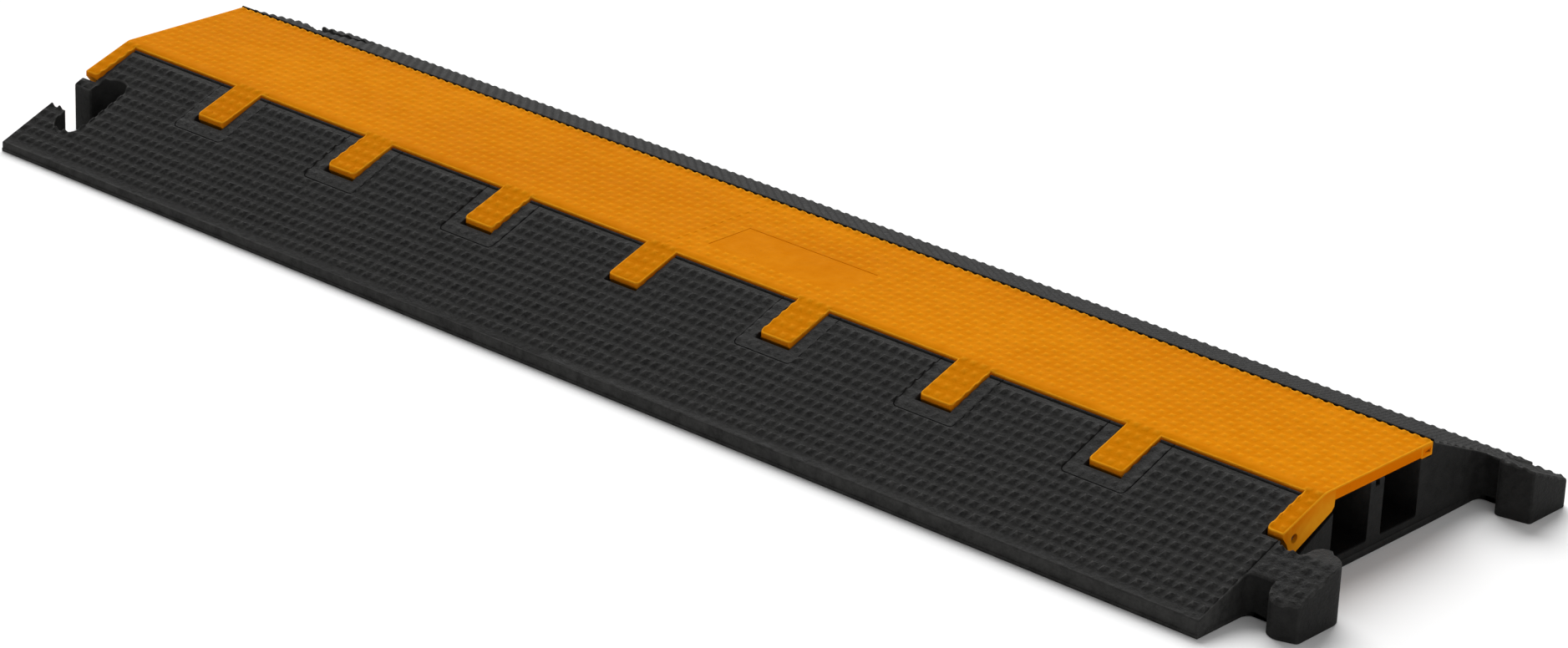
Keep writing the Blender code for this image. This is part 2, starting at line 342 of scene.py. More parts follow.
def solid(name, top, faces, heights, relief, wear_and_highlight, rings, under_plan, under_height):
    """A closed mesh: the top sheet, walls down through the rings, and an underside sheet.

    rings are functions of the boundary points that give (x, y, z) for each, from the top down. relief and the
    edge
    value are kept for the material: relief is -1 in grooves, DARK_RELIEF in channels and slots, 0 in the
    tread's valleys and 1 on its studs; the material paints the grooves, channels and slots nearly black as
    painted shade, and the valleys and stud tips lighter as painted light. The edge value is 1 along the
    edges, where the material paints the surface lighter, partly as rubbed wear and partly as painted
    highlight.
    """
    loop = loop_of(faces)
    edge = top[loop]
    levels = [np.column_stack([edge, heights[loop] - UNDER_EDGE])] + [ring(edge) for ring in rings]
    bottom = levels[-1]
    under_plan.path(bottom[:, :2], closed=True)
    low, low_faces = under_plan.triangles(bottom[:, :2])
    low_heights = under_height(low[:, 0], low[:, 1])
    low_loop = loop_of(low_faces)
    if len(low_loop) != len(loop):
        raise ValueError(f"{name}: {len(low_loop)} boundary points below and {len(loop)} above")
    turn = int(np.argmin(np.linalg.norm(low[low_loop] - bottom[0, :2], axis=1)))
    low_loop = low_loop[turn:] + low_loop[:turn]

    count = len(loop)
    points = [np.column_stack([top, heights])]
    numbers = [np.array(loop)]
    total = len(top)
    for level in levels[:-1]:
        points.append(level)
        numbers.append(np.arange(total, total + count))
        total += count
    points.append(np.column_stack([low, low_heights]))
    numbers.append(np.array(low_loop) + total)
    quads = []
    for upper, lower in zip(numbers, numbers[1:]):
        quads.append(np.column_stack([upper, lower, np.roll(lower, -1), np.roll(upper, -1)]))
    polygons = [tuple(f) for f in faces.tolist()]
    polygons += [tuple(f) for f in np.concatenate(quads).tolist()]
    polygons += [tuple(f[::-1]) for f in (low_faces + total).tolist()]
    mesh = bpy.data.meshes.new(name)
    mesh.from_pydata((np.concatenate(points) * MM).tolist(), [], polygons)
    for kind, given in (("relief", relief), ("wear_and_highlight", wear_and_highlight)):
        values = np.zeros(len(mesh.vertices), np.float32)
        values[: len(top)] = given
        mesh.attributes.new(kind, "FLOAT", "POINT").data.foreach_set("value", values)
    mesh.validate()
    made = bpy.data.objects.new(name, mesh)
    bpy.context.scene.collection.objects.link(made)
    return made


def soften(obj, degrees):
    """Shades the object smooth, except over edges sharper than this."""
    obj.data.shade_smooth()
    obj.data.set_sharp_from_angle(angle=math.radians(degrees))


# ---- base ----


def lug_plan(lug):
    """Plan of a lug, from its near root round the head to its far one."""
    neck_low, neck_high = (v - HALF_WIDTH for v in lug["neck"])
    low, high = (v - HALF_WIDTH for v in lug["head"])
    inner, outer = FACE + LUG_NECK, FACE + LUG_HEAD
    root, crook = LUG_ROOT
    near, far = lug["outer"]
    near_inner, far_inner = lug["inner"]
    lean = math.degrees(math.atan2(LUG_TAPER, outer - inner))
    return [
        *arc(FACE + root, neck_low - root, root, 180, 90, 4),
        *arc(inner - crook, neck_low - crook, crook, 90, 0, 3),
        *arc(inner + near_inner, low + near_inner, near_inner, 180, 270 + lean, 7),
        *arc(outer - near, low + LUG_TAPER + near, near, 270 + lean, 360, 5),
        *arc(outer - far, high - LUG_TAPER - far, far, 0, 90 - lean, 7),
        *arc(inner + far_inner, high - far_inner, far_inner, 90 - lean, 180, 6),
        *arc(inner - crook, neck_high + crook, crook, 0, -90, 3),
        *arc(FACE + root, neck_high + root, root, 270, 180, 4),
    ]


def socket_plan(neck):
    """Plan of a socket, in the same order."""
    neck_low, neck_high = neck[0] - HALF_WIDTH, neck[1] - HALF_WIDTH
    low, high = neck_low - SOCKET_MARGIN, neck_high + SOCKET_MARGIN
    inner, outer = -FACE + SOCKET_NECK, -FACE + SOCKET_HEAD
    root, crook = SOCKET_ROOT
    c = SOCKET_CORNER
    return [
        *arc(-FACE + root, neck_low - root, root, 180, 90, 5),
        *arc(inner - crook, neck_low - crook, crook, 90, 0, 3),
        *arc(inner + c, low + c, c, 180, 270, 7),
        *arc(outer - c, low + c, c, 270, 360, 7),
        *arc(outer - c, high - c, c, 0, 90, 7),
        *arc(inner + c, high - c, c, 90, 180, 7),
        *arc(inner - crook, neck_high + crook, crook, 0, -90, 3),
        *arc(-FACE + root, neck_high + root, root, 270, 180, 5),
    ]


def web_profile():
    """Across the base between the slots, from the ramp's edge to the far ramp: (y, z)."""
    return [
        (TILE_EDGE, float(near_ramp(0, TILE_EDGE)) - EDGE_ROUND),
        (TILE_EDGE + SHEER, SEAT),
        (-CHANNEL_FAR - 0.5, SEAT),
        (-CHANNEL_FAR, SEAT - 0.4),
        (-CHANNEL_FAR + SHEER, FLOOR + 1),
        (-CHANNEL_FAR + 1, FLOOR),
        (-CHANNEL_NEAR - 1, FLOOR),
        (-CHANNEL_NEAR - SHEER, FLOOR + 1),
        (-CHANNEL_NEAR, SEAT - 0.4),
        (-CHANNEL_NEAR + 0.5, SEAT),
        (-GROOVE_HALF, SEAT),
        (-GROOVE_HALF + SHEER, GROOVE_FLOOR),
        (GROOVE_HALF - SHEER, GROOVE_FLOOR),
        (GROOVE_HALF, SEAT),
        (CHANNEL_NEAR - 0.5, SEAT),
        (CHANNEL_NEAR, SEAT - 0.4),
        (CHANNEL_NEAR + SHEER, FLOOR + 1),
        (CHANNEL_NEAR + 1, FLOOR),
        (CHANNEL_FAR - 1, FLOOR),
        (CHANNEL_FAR - SHEER, FLOOR + 1),
        (CHANNEL_FAR, RIM_SEAT - 0.4),
        (CHANNEL_FAR + 0.5, RIM_SEAT),
        (SEAT_WALL - SHEER, RIM_SEAT),
        (SEAT_WALL, float(far_ramp(SEAT_WALL)) + SEAT_RIM[0] - EDGE_ROUND),
    ]


def slot_profile():
    """The same through a slot, from its near wall to the channel."""
    dy, dz = SLOT_HEEL[0] - HINGE_Y, SLOT_HEEL[1] - HINGE_Z
    leave = math.degrees(math.atan2(dz, dy) - math.acos(SLOT_RADIUS / math.hypot(dy, dz)))
    bowl = arc(HINGE_Y, HINGE_Z, SLOT_RADIUS, -180, leave, 14)
    slope = math.tan(math.radians(90 + leave))
    wall = (-CHANNEL_FAR, SLOT_HEEL[1] + (-CHANNEL_FAR - SLOT_HEEL[0]) * slope)
    rest = [p for p in web_profile() if p[0] > -CHANNEL_FAR]
    return [(bowl[0][0] - SHEER, None), *bowl, wall, *rest]


def base_columns():
    """x of the columns of studs, on along the lugs."""
    pitch = 2 * END / STUD_COLUMNS
    return [pitch * (k + 0.5) - END for k in range(STUD_COLUMNS + LUG_COLUMNS)]


def base_rows():
    """y of the rows of studs, on the near ramp and on the far one."""
    rows = [STUD_ROW_1 + STUD_ROW_PITCH * k - HALF_WIDTH for k in range(STUD_ROWS)]
    return rows, [-y for y in rows]


def insert_path(centre, grow):
    """The U-shaped witness line about a finger, grown or shrunk sideways."""
    half, near, corner = INSERT_HALF + grow, INSERT_NEAR - grow, INSERT_CORNER + grow
    return [
        (centre - half, TILE_EDGE),
        *arc(centre - half + corner, near + corner, corner, 180, 270, 5),
        *arc(centre + half - corner, near + corner, corner, 270, 360, 5),
        (centre + half, TILE_EDGE),
    ]


def base_outline():
    """Round the base in plan, anticlockwise."""
    toe = -TOE_FACE
    lug_side, socket_side = [], []
    for lug in LUGS:
        lug_side += lug_plan(lug)
    for neck in SOCKETS:
        socket_side += socket_plan(neck)
    return [(-FACE, toe), (FACE, toe), *lug_side, (FACE, HALF_WIDTH), (-FACE, HALF_WIDTH), *socket_side[::-1]]


def make_base():
    outline = np.array(base_outline())
    columns = base_columns()
    near_rows, far_rows = base_rows()
    web, slot = web_profile(), slot_profile()
    far_crease = HALF_WIDTH - (LUG_TOP - FAR_TOE) * (HALF_WIDTH - PANEL_HALF) / (FAR_CREST - FAR_TOE)
    lug_slope = (CREST - NEAR_TOE[1]) / (HALF_WIDTH - PANEL_HALF)
    near_crease = (LUG_TOP - NEAR_TOE[1]) / lug_slope - HALF_WIDTH
    score = [(FACE - SCORE[0], near_crease + SCORE[1]), (FACE - SCORE[0], near_crease + SCORE[2])]
    middle = [(0.0, -TOE_FACE + 1), (0.0, INSERT_NEAR - 1)]

    plan = Plan()
    plan.path(outline, closed=True)
    for by in (0.35 * EDGE_ROUND, EDGE_ROUND, RUB_AND_HIGHLIGHT_BAND):
        plan.path(inset(outline, by), closed=True)
    for lug in LUGS:
        shape = lug_plan(lug)[4:-4]
        for by in (0.5, 1.0, LUG_ROUND):
            ring = inset(np.array([(FACE, shape[0][1]), *shape, (FACE, shape[-1][1])]), by)
            plan.path([p for p in ring if p[0] > FACE + 2])
    plan.path([(FACE + 2, near_crease), (base_high[0] - 1, near_crease)])
    plan.path([(FACE + 2, far_crease), (base_high[0] - 1, far_crease)])

    def in_slot(x, y):
        return y > HINGE_Y - SLOT_RADIUS + 3 and any(abs(x - c) < SLOT_HALF - 3 for c in FINGER_CENTRES)

    stud_grid(plan, columns, near_rows, STUD_STEPS, in_slot)
    stud_grid(plan, columns, far_rows, STUD_STEPS)

    edges = [c + side * SLOT_HALF for c in FINGER_CENTRES for side in (-1, 1)]
    gaps = [(a, b) for a, b in zip(edges[1::2], edges[2::2])]
    for a, b in gaps:
        for y, _ in web:
            if y < -CHANNEL_FAR + 0.5 * SHEER:
                plan.path([(a, y), (b, y)])
        plan.path([(a, TILE_EDGE - EDGE_ROUND), (b, TILE_EDGE - EDGE_ROUND)])
        for by in (-EDGE_LINE[1], 0, EDGE_LINE[1]):
            plan.path([(a, TILE_EDGE - EDGE_LINE[0] + by), (b, TILE_EDGE - EDGE_LINE[0] + by)])
    for y, _ in web:
        if y > -CHANNEL_FAR + 0.5 * SHEER:
            plan.path([(-FACE, y), (FACE, y)])
    for by in (EDGE_ROUND, EDGE_ROUND + SEAT_RIM[1]):
        plan.path([(-FACE, SEAT_WALL + by), (FACE, SEAT_WALL + by)])
    slot_start = slot[0][0]
    for centre in FINGER_CENTRES:
        a, b = max(centre - SLOT_HALF, -FACE), min(centre + SLOT_HALF, FACE)
        for y, _ in slot:
            if y < -CHANNEL_FAR + 0.5 * SHEER:
                plan.path([(a - SHEER, y), (b + SHEER, y)])
        for x in (centre - SLOT_HALF, centre + SLOT_HALF):
            outward = math.copysign(1, x - centre)
            if abs(x) > FACE:
                continue
            for by in (0, SHEER):
                plan.path([(x + outward * by, slot_start - 0.2), (x + outward * by, -CHANNEL_FAR + SHEER)])
        for by in (0.25, EDGE_ROUND):
            plan.path(
                [
                    (centre - SLOT_HALF - SHEER - by, TILE_EDGE),
                    (centre - SLOT_HALF - SHEER - by, slot_start - by),
                    (centre + SLOT_HALF + SHEER + by, slot_start - by),
                    (centre + SLOT_HALF + SHEER + by, TILE_EDGE),
                ]
            )
        if centre in INSERTS:
            for grow in (-LINE_HALF, 0, LINE_HALF):
                plan.path(insert_path(centre, grow))
    for line in (score, middle):
        for by in (-LINE_HALF, 0, LINE_HALF):
            plan.path([(x + by, y) for x, y in line])

    top, faces = plan.triangles(outline)
    x, y = top[:, 0], top[:, 1]

    # Studs, on both ramps and on the lugs' slopes
    near_z = near_ramp(x, y)
    lug_zone = x > FACE + 1
    near_flat = lug_zone & (near_z > LUG_TOP) & (y < 0)
    far_z = far_ramp(y)
    far_flat = lug_zone & (far_z > LUG_TOP) & (y > 0)
    studs = STUD_HEIGHT * stud_share(x, y, columns, near_rows + far_rows, STUD_STEPS)
    for centre in INSERTS:
        within = (np.abs(x - centre) < INSERT_HALF) & (y > INSERT_NEAR)
        studs = np.where(within & (y < 0), studs * INSERT_STUDS, studs)
    studs = np.where(y > 0, studs * FAR_STUDS, studs)
    column, row = np.round(x / (2 * END / STUD_COLUMNS) - 0.5), np.round(y / STUD_ROW_PITCH)
    uneven = np.mod(np.sin(column * SCATTER[0] + row * SCATTER[1]) * SCATTER[2], 1.0)
    studs = np.where(lug_zone, studs * (LUG_STUDS[0] + LUG_STUDS[1] * uneven), studs)
    studs = np.where(near_flat | far_flat, 0, studs)
    near_z = np.where(lug_zone, np.minimum(near_z, LUG_TOP), near_z) + np.where(y < TILE_EDGE, studs, 0)
    far_z = np.where(lug_zone, np.minimum(far_z, LUG_TOP), far_z) + np.where(y > SEAT_WALL, studs, 0)

    # Witness lines
    cut = np.zeros(len(x))
    paths = [insert_path(c, 0) for c in INSERTS] + [score]
    for path, depth in [(p, LINE_DEPTH) for p in paths] + [(middle, MIDDLE_DEPTH)]:
        (x0, y0), (x1, y1) = np.min(path, axis=0) - 1, np.max(path, axis=0) + 1
        close = (x > x0) & (x < x1) & (y > y0) & (y < y1)
        away = distance_to(top[close], path, closed=False)
        cut[close] = np.maximum(cut[close], depth * np.clip(1 - away / LINE_HALF, 0, 1))
    along = EDGE_LINE[2] * np.clip(1 - np.abs(y - TILE_EDGE + EDGE_LINE[0]) / EDGE_LINE[1], 0, 1)
    near_z = near_z - np.where(y < TILE_EDGE - 0.01, np.maximum(cut, along), 0)

    # Rounded edge about each slot
    nearest = np.min(np.abs(x[:, None] - np.asarray(FINGER_CENTRES)[None, :]), axis=1)
    beside = np.maximum(nearest - SLOT_HALF - SHEER, 0)
    before = np.maximum(slot_start - y, 0)
    near_z = near_z - np.where(lug_zone, 0, drop(np.hypot(beside, before), EDGE_ROUND))

    web_y = [TILE_EDGE - EDGE_ROUND] + [p[0] for p in web] + [SEAT_WALL + EDGE_ROUND]
    web_z = [float(near_ramp(0, web_y[0]))] + [p[1] for p in web] + [float(far_ramp(web_y[-1])) + SEAT_RIM[0]]
    far_z = far_z + SEAT_RIM[0] * np.clip(1 - (y - web_y[-1]) / SEAT_RIM[1], 0, 1)
    section = np.interp(y, web_y, web_z)
    z = np.where(y < web_y[0], near_z, np.where(y > web_y[-1], far_z, section))
    slot_y = [p[0] for p in slot[1:]]
    slot_z = [p[1] for p in slot[1:]]
    floor = np.interp(y, slot_y, slot_z)
    rim = near_ramp(x, y) - EDGE_ROUND
    floor = np.where(y < slot_y[0], rim + (floor - rim) * np.clip((y - slot_start) / SHEER, 0, 1), floor)
    share = np.clip(1 - (nearest - SLOT_HALF) / SHEER, 0, 1)
    slotted = (y > slot_start) & (y < -CHANNEL_FAR + SHEER) & ~lug_zone
    z = np.where(slotted, z + (floor - z) * share, z)

    # Rounded outer edges
    rim_away = distance_to(top, outline)
    z = z - np.where(x > FACE + 2, drop(rim_away, LUG_ROUND), drop(rim_away, EDGE_ROUND))

    toe_y = -TOE_FACE + 1e-4

    def end_lip(points, level):
        """How far the lip stands out of the end faces."""
        px, py = points[:, 0], points[:, 1]
        on_face = np.abs(np.abs(px) - FACE) < 1e-4
        fade = np.clip((py - END_LIP[0]) / 4, 0, 1) * np.clip((END_LIP[1] - py) / 12, 0, 1)
        return np.where(on_face, np.sign(px) * LIP * fade * level, 0)

    def ring(height, toe_out, end_out):
        def place(points):
            on_toe = points[:, 1] < toe_y
            shift_y = np.where(on_toe, -LIP * toe_out, 0)
            out_x = points[:, 0] + end_lip(points, end_out)
            return np.column_stack([out_x, points[:, 1] + shift_y, np.full(len(points), height)])

        return place

    def raised(points):
        """The lugs' necks clear the ground."""
        px = points[:, 0]
        return np.interp(px, [FACE + 1, FACE + 3, FACE + 15, FACE + 17], [0, NECK_LIFT, NECK_LIFT, 0])

    def last(points):
        place = ring(0, 1, 1)(points)
        place[:, 2] = raised(points)
        return place

    rings = [
        ring(END_LIP_TOP + 0.25, 0, 0),
        ring(END_LIP_TOP, 0, 1),
        ring(TOE_LIP_TOP + 0.2, 0, 1),
        ring(TOE_LIP_TOP, 1, 1),
        ring(0.4, 1, 1),
        last,
    ]
    under = Plan()
    pockets = under_pockets()
    for x0, y0, x1, y1 in pockets:
        under.rectangle(x0, y0, x1, y1)
        under.rectangle(x0 + 1, y0 + 1, x1 - 1, y1 - 1)

    def under_height(px, py):
        level = raised(np.column_stack([px, py]))
        for x0, y0, x1, y1 in pockets:
            depth = np.minimum(np.minimum(px - x0, x1 - px), np.minimum(py - y0, y1 - py))
            level = np.maximum(level, POCKET_DEPTH * np.clip(depth, 0, 1))
        return level

    relief = np.clip(studs / STUD_HEIGHT, 0, 1)
    # Low relief values mark where the rubber is painted nearly black as painted shade: grooves, channels,
    # slots and the strip behind the lid's far edge.
    relief = np.where((np.maximum(cut, along * (y < TILE_EDGE)) > 0.3) & ~lug_zone, -1, relief)
    relief = np.where((np.abs(y) < CHANNEL_FAR) & (z < SEAT - 1), DARK_RELIEF, relief)
    relief = np.where((y > LID_FAR_EDGE - 2) & (y < SEAT_WALL + 0.01) & ~lug_zone, -1, relief)
    relief = np.where(slotted & (share > 0.5), DARK_RELIEF, relief)
    # A band along the outer edges, painted lighter: partly rubbed wear, partly painted highlight.
    wear_and_highlight = np.clip((RUB_AND_HIGHLIGHT_BAND - rim_away) / (RUB_AND_HIGHLIGHT_BAND - EDGE_ROUND), 0, 1)
    wear_and_highlight = np.where(np.abs(y) < SEAT_WALL, 0, wear_and_highlight)
    return solid("ramp_base", top, faces, z, relief, wear_and_highlight, rings, under, under_height)


def under_pockets():
    """Shallow recesses in the underside, one bay for each finger pitch. The sockets take the place of two."""
    made = []
    for k in range(8):
        x0 = -END + FINGER_PITCH * k + POCKET_MARGIN
        for y0, y1 in POCKET_ROWS:
            by_socket = k == 0 and y0 * y1 > 0
            if not by_socket:
                made.append((x0, y0, x0 + FINGER_PITCH - 2 * POCKET_MARGIN, y1))
    return made


# ---- lid ----


def finger_under():
    """A finger's underside from its tip to the lid's: (y, z)."""
    front = [
        (FINGER_TIP, 36.4),
        (FINGER_TIP + 0.5, 35.2),
        (HINGE_Y - 8.6, HINGE_Z + 1.0),
        (HINGE_Y - 6.3, HINGE_Z - 2.6),
    ]
    toe = arc(HINGE_Y + FINGER_TOE[0], HINGE_Z + FINGER_TOE[1], FINGER_TOE[2], 207, 300, 4)
    return [*front, *toe, (-43.5, 38.5), (-41.3, 41.0), LID_WEB[1]]


def lid_outline(breaks):
    """Round the lid in plan, anticlockwise. Its finger sides have a point at each of the breaks.

    Known fault: the underside slopes from a finger's corner at WEB_EDGE to the outline's next point along the
    web. That fin crosses the slot's wall with the lid shut. The lid also cuts into the base until it is about
    35 degrees open; which shapes cause that wasn't separated.
    """
    sides = sorted(b for b in breaks if FINGER_TIP + TIP_CORNER < b < WEB_EDGE)
    points = []
    for centre in FINGER_CENTRES:
        left, right = centre - FINGER_HALF, centre + FINGER_HALF
        if left > -LID_HALF:
            points.append((left, WEB_EDGE))
            points += [(left, y) for y in sides[::-1]]
            points += arc(left + TIP_CORNER, FINGER_TIP + TIP_CORNER, TIP_CORNER, 180, 270, 5)
        else:
            points += [(-LID_HALF, WEB_EDGE), *[(-LID_HALF, y) for y in sides[::-1]]]
            points += arc(-LID_HALF + 1, FINGER_TIP + 1, 1, 180, 270, 3)
        if right < LID_HALF:
            points += arc(right - TIP_CORNER, FINGER_TIP + TIP_CORNER, TIP_CORNER, 270, 360, 5)
            points += [(right, y) for y in sides]
            points.append((right, WEB_EDGE))
        else:
            points += arc(LID_HALF - 1, FINGER_TIP + 1, 1, 270, 360, 3)
            points += [*[(LID_HALF, y) for y in sides], (LID_HALF, WEB_EDGE)]
    wide = sorted(b for b in breaks if b > WEB_EDGE + 0.01)
    points += [(LID_HALF, y) for y in wide]
    points += [(LID_HALF, LID_FAR_EDGE), (-LID_HALF, LID_FAR_EDGE)]
    points += [(-LID_HALF, y) for y in wide[::-1]]
    return points


def make_lid():
    profile = finger_under()
    breaks = [p[0] for p in profile[1:]] + [p[0] for p in LID_RIM] + [TIP_TOP]
    outline = np.array(lid_outline(breaks))
    pitch = 2 * LID_HALF / LID_COLUMNS
    columns = [pitch * (k + 0.5) - LID_HALF for k in range(LID_COLUMNS)]
    rows = [LID_ROW_LAST - LID_ROW_PITCH * k for k in range(LID_ROWS)]

    def no_stud(x, y):
        on_finger = any(abs(x - c) < FINGER_HALF + 2 for c in FINGER_CENTRES)
        in_x = LABEL[0] - LABEL_MARGIN < x < LABEL[2] + LABEL_MARGIN
        in_y = LABEL[1] - LABEL_MARGIN < y < LABEL[3] + LABEL_MARGIN
        return (y < WEB_EDGE + 2 and not on_finger) or (in_x and in_y)

    plan = Plan()
    plan.path(outline, closed=True)
    for by in (0.12 * LID_ROUND, 0.4 * LID_ROUND, LID_ROUND, RUB_AND_HIGHLIGHT_BAND):
        plan.path(inset(outline, by), closed=True)
    stud_grid(plan, columns, rows, LID_STUD_STEPS, no_stud)
    bend, bend_drop = BEND
    crest = (-PANEL_HALF - bend, -PANEL_HALF, -PANEL_HALF + bend)
    for y in crest:
        plan.path([(-LID_HALF, y), (LID_HALF, y)])
    x0, y0, x1, y1 = LABEL
    for by in (0, LABEL_WALL):
        plan.rectangle(x0 + by, y0 + by, x1 - by, y1 - by)
    seam, seam_depth = LID_SEAM
    for by in (-seam, 0, seam):
        plan.path([(by, WEB_EDGE + 1), (by, LID_FAR_EDGE - 1)])
    top, faces = plan.triangles(outline)
    x, y = top[:, 0], top[:, 1]

    slope = (LID_TOP - TIP_HEIGHT) / (-PANEL_HALF - FINGER_TIP)
    crest_z = (LID_TOP - bend * slope, LID_TOP - bend_drop, LID_TOP)
    z = np.interp(y, [FINGER_TIP, *crest, LID_FAR_EDGE], [TIP_HEIGHT, *crest_z, LID_TOP])
    studs = LID_STUD_HEIGHT * stud_share(x, y, columns, rows, LID_STUD_STEPS)
    nearest_column = np.array(columns)[np.argmin(np.abs(x[:, None] - np.asarray(columns)[None, :]), axis=1)]
    nearest_row = np.array(rows)[np.argmin(np.abs(y[:, None] - np.asarray(rows)[None, :]), axis=1)]
    bare = np.array([no_stud(a, b) for a, b in zip(nearest_column, nearest_row)])
    studs = np.where(bare, 0, studs)
    studs = np.where(y < -PANEL_HALF, studs * FINGER_STUDS, studs)
    studs = np.where(y > LID_ROW_LAST - LAST_ROW_REACH, studs * LID_EDGE_STUDS, studs)
    deep = np.minimum(np.minimum(x - x0, x1 - x), np.minimum(y - y0, y1 - y))
    z = z + studs - LABEL_DEPTH * np.clip(deep / LABEL_WALL, 0, 1)
    z = z - np.where(y > WEB_EDGE + 0.5, seam_depth * np.clip(1 - np.abs(x) / seam, 0, 1), 0)
    edge_away = distance_to(top, outline)
    z = z - drop(edge_away, LID_ROUND) * np.where(y > LID_FAR_EDGE - LID_ROUND - 0.01, 0.4, 1)

    def bottom(points):
        return np.column_stack([points, under_height(points[:, 0], points[:, 1])])

    def under_height(px, py):
        web = np.interp(py, *zip(*LID_WEB, *LID_RIM))
        finger = np.interp(py, *zip(*profile, *LID_RIM))
        nearest = np.min(np.abs(px[:, None] - np.asarray(FINGER_CENTRES)[None, :]), axis=1)
        share = np.clip(1 - (nearest - FINGER_HALF) / SHEER, 0, 1)
        level = web + (finger - web) * share
        for a, b, c, d in LID_POCKETS:
            deep = np.minimum(np.minimum(px - a, c - px), np.minimum(py - b, d - py))
            level = level + LID_POCKET_DEPTH * np.clip(deep / LID_POCKET_WALL, 0, 1)
        return level

    under = Plan()
    for centre in FINGER_CENTRES:
        a, b = max(centre - FINGER_HALF, -LID_HALF), min(centre + FINGER_HALF, LID_HALF)
        whole = a > -LID_HALF and b < LID_HALF
        for py, _ in profile[1:]:
            if py <= FINGER_TIP + TIP_CORNER:
                grow = -TIP_CORNER
            else:
                grow = SHEER if py > WEB_EDGE and whole else 0
            under.path([(a - grow, py), (b + grow, py)])
        for px in (centre - FINGER_HALF, centre + FINGER_HALF):
            if abs(px) > LID_HALF:
                continue
            outward = math.copysign(1, px - centre)
            under.path([(px, WEB_EDGE), (px, LID_WEB[1][0])])
            under.path([(px + outward * SHEER, WEB_EDGE + 0.3), (px + outward * SHEER, LID_WEB[1][0])])
    for py, _ in LID_RIM:
        under.path([(-LID_HALF, py), (LID_HALF, py)])
    for a, b, c, d in LID_POCKETS:
        under.rectangle(a, b, c, d)
        wall = LID_POCKET_WALL
        under.rectangle(a + wall, b + wall, c - wall, d - wall)
    relief = np.clip(studs / LID_STUD_HEIGHT, 0, 1)
    # A band along the edges, painted lighter: partly rubbed wear, partly painted highlight.
    wear_and_highlight = np.clip((RUB_AND_HIGHLIGHT_BAND - edge_away) / (RUB_AND_HIGHLIGHT_BAND - LID_ROUND), 0, 1)
    made = solid("ramp_lid", top, faces, z, relief, wear_and_highlight, [bottom], under, under_height)
    bore(made, (rod_high[2] - rod_low[2]) / 2 + BORE_GAP)
    return made


def bore(obj, radius):
    """Cuts the hinge rod's bore through all the fingers, and the hollow in the lug end."""
    work = bmesh.new()
    bmesh.ops.create_cone(work, cap_ends=True, segments=32, radius1=radius * MM, radius2=radius * MM,
                          depth=(2 * LID_HALF + 20) * MM)
    bmesh.ops.rotate(work, cent=(0, 0, 0), matrix=Matrix.Rotation(math.pi / 2, 3, "Y"), verts=work.verts)
    bmesh.ops.translate(work, vec=(0, HINGE_Y * MM, HINGE_Z * MM), verts=work.verts)
    inner, outer = [
        [work.verts.new((px * MM, py * MM, pz * MM)) for py, pz in HOLLOW]
        for px in (LID_HALF - HOLLOW_DEPTH, LID_HALF + 5)
    ]
    work.faces.new(inner[::-1])
    work.faces.new(outer)
    for k in range(3):
        work.faces.new((inner[k - 1], inner[k], outer[k], outer[k - 1]))
    bmesh.ops.recalc_face_normals(work, faces=work.faces)
    cutter_mesh = bpy.data.meshes.new("bore")
    work.to_mesh(cutter_mesh)
    work.free()
    cutter = bpy.data.objects.new("bore", cutter_mesh)
    bpy.context.scene.collection.objects.link(cutter)
    cut = obj.modifiers.new("bore", "BOOLEAN")
    cut.operation = "DIFFERENCE"
    cut.solver = "EXACT"
    cut.object = cutter
    cut_mesh = bpy.data.meshes.new_from_object(obj.evaluated_get(bpy.context.evaluated_depsgraph_get()))
    obj.modifiers.clear()
    obj.data = cut_mesh
    cut_mesh.name = obj.name
    bpy.data.objects.remove(cutter)


base = make_base()
lid = make_lid()
for made in (base, lid):
    soften(made, SHARP_ANGLE)
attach(base, "base")
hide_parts("base")
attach(lid, "lid")
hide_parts("lid")


# ---- materials ----


